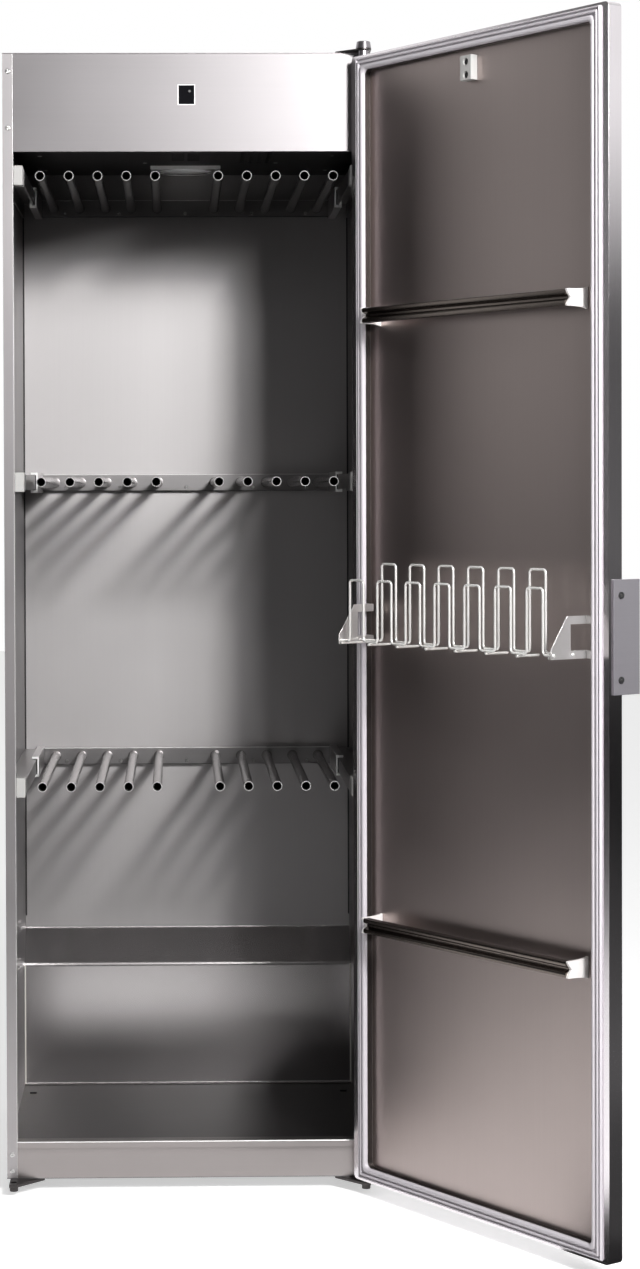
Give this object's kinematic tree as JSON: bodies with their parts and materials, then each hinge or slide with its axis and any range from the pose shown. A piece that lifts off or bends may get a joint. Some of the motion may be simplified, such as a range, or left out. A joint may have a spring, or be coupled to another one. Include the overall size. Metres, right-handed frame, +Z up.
{
  "type": "drying cabinet",
  "caption": "Tall steel drying cabinet with a side-hung door, towel rails and a wire basket on the door, and pull-out racks of drying tubes.",
  "frame": {"origin": "on the floor, centre of the body's footprint", "axes": "+Z up, front with the door towards -Y, hinge side towards +X"},
  "size_m": [0.9456, 1.1021, 1.886],
  "materials": {
    "body_steel": "satin brushed",
    "inner_steel": "satin",
    "dark_steel": "satin dark grey",
    "galvanised": "matt zinc",
    "bright_steel": "polished",
    "chromed": "polished",
    "tube_steel": "satin",
    "door_steel": "satin brushed",
    "panel_steel": "satin",
    "rail_bronze": "dark anodised",
    "anodised": "satin anodised",
    "gasket": "soft matt",
    "white_plastic": "matt",
    "black_plastic": "matt",
    "window": "gloss",
    "heater": "scaled metal",
    "motor": "satin"
  },
  "bodies": {
    "cabinet": {"side_panel_left": "body_steel", "side_panel_right": "body_steel", "base_pan": "dark_steel", "top_cover": "body_steel", "back_panel": "dark_steel", "fascia_panel": "body_steel", "kick_panel": "body_steel", "floor_pan": "inner_steel", "ceiling_panel": "dark_steel", "back_lining": "inner_steel", "duct_cover": "inner_steel", "rails_left": "inner_steel", "rails_right": "inner_steel", "rail_stops": "white_plastic", "hinge_plate_bottom": "dark_steel", "hinge_plate_spare": "dark_steel", "hinge_plate_top": "dark_steel", "hinge_pins": "bright_steel", "fan_housing": "galvanised", "fan_motor": "motor", "heater_box": "galvanised", "heater_element": "heater", "control_box": "black_plastic", "door_sensor": "black_plastic", "sensor_window": "window", "exhaust_flange": "galvanised", "exhaust_spigot": "galvanised", "cable_gland": "black_plastic", "wall_bracket": "galvanised", "body_screws": "bright_steel", "foot_sockets": "galvanised"},
    "door": {"door_skin": "door_steel", "door_panel": "panel_steel", "door_gasket": "gasket", "door_bushes": "black_plastic", "towel_rails": "rail_bronze", "rail_brackets": "chromed", "wire_rack": "chromed", "rack_brackets": "bright_steel", "contact_block": "white_plastic", "handle_plate": "anodised", "handle_screws": "black_plastic", "control_panel": "black_plastic"},
    "button": {"start_button": "chromed"},
    "rack_top": {"rack_top_bar": "inner_steel", "rack_top_tubes": "tube_steel", "rack_top_slides": "bright_steel"},
    "rack_middle": {"rack_middle_bar": "inner_steel", "rack_middle_tubes": "tube_steel", "rack_middle_slides": "bright_steel"},
    "rack_bottom": {"rack_bottom_bar": "inner_steel", "rack_bottom_tubes": "tube_steel", "rack_bottom_slides": "bright_steel"},
    "fan": {"fan_impeller": "black_plastic"},
    "damper": {"exhaust_damper": "bright_steel"},
    "foot_fl": {"foot_front_left": "black_plastic"},
    "foot_fr": {"foot_front_right": "black_plastic"},
    "foot_rl": {"foot_rear_left": "black_plastic"},
    "foot_rr": {"foot_rear_right": "black_plastic"}
  },
  "joints": [
    {"name": "door_hinge", "type": "hinge", "parent": "cabinet", "child": "door", "pos_m": [0.285, -0.3085, 0], "axis": [0, 0, 1], "range_deg": [-124, 50]},
    {"name": "rack_top_slide", "type": "slide", "parent": "cabinet", "child": "rack_top", "axis": [0, -1, 0], "range_m": [0, 0.29]},
    {"name": "rack_middle_slide", "type": "slide", "parent": "cabinet", "child": "rack_middle", "axis": [0, -1, 0], "range_m": [0, 0.29]},
    {"name": "rack_bottom_slide", "type": "slide", "parent": "cabinet", "child": "rack_bottom", "axis": [0, -1, 0], "range_m": [0, 0.29]},
    {"name": "fan_spin", "type": "hinge", "parent": "cabinet", "child": "fan", "pos_m": [0.121, 0.0075, 1.7], "axis": [0, 0, 1], "continuous": true},
    {"name": "damper_turn", "type": "hinge", "parent": "cabinet", "child": "damper", "pos_m": [0, 0.2055, 1.719], "axis": [1, 0, 0], "range_deg": [0, 90]},
    {"name": "button_press", "type": "slide", "parent": "door", "child": "button", "axis": [-0.829, -0.5592, 0], "range_m": [0, 0.0015], "stiffness_N_per_m": 600},
    {"name": "foot_fl_screw", "type": "slide", "parent": "cabinet", "child": "foot_fl", "axis": [0, 0, -1], "range_m": [0, 0.012]},
    {"name": "foot_fr_screw", "type": "slide", "parent": "cabinet", "child": "foot_fr", "axis": [0, 0, -1], "range_m": [0, 0.012]},
    {"name": "foot_rl_screw", "type": "slide", "parent": "cabinet", "child": "foot_rl", "axis": [0, 0, -1], "range_m": [0, 0.012]},
    {"name": "foot_rr_screw", "type": "slide", "parent": "cabinet", "child": "foot_rr", "axis": [0, 0, -1], "range_m": [0, 0.012]}
  ]
}
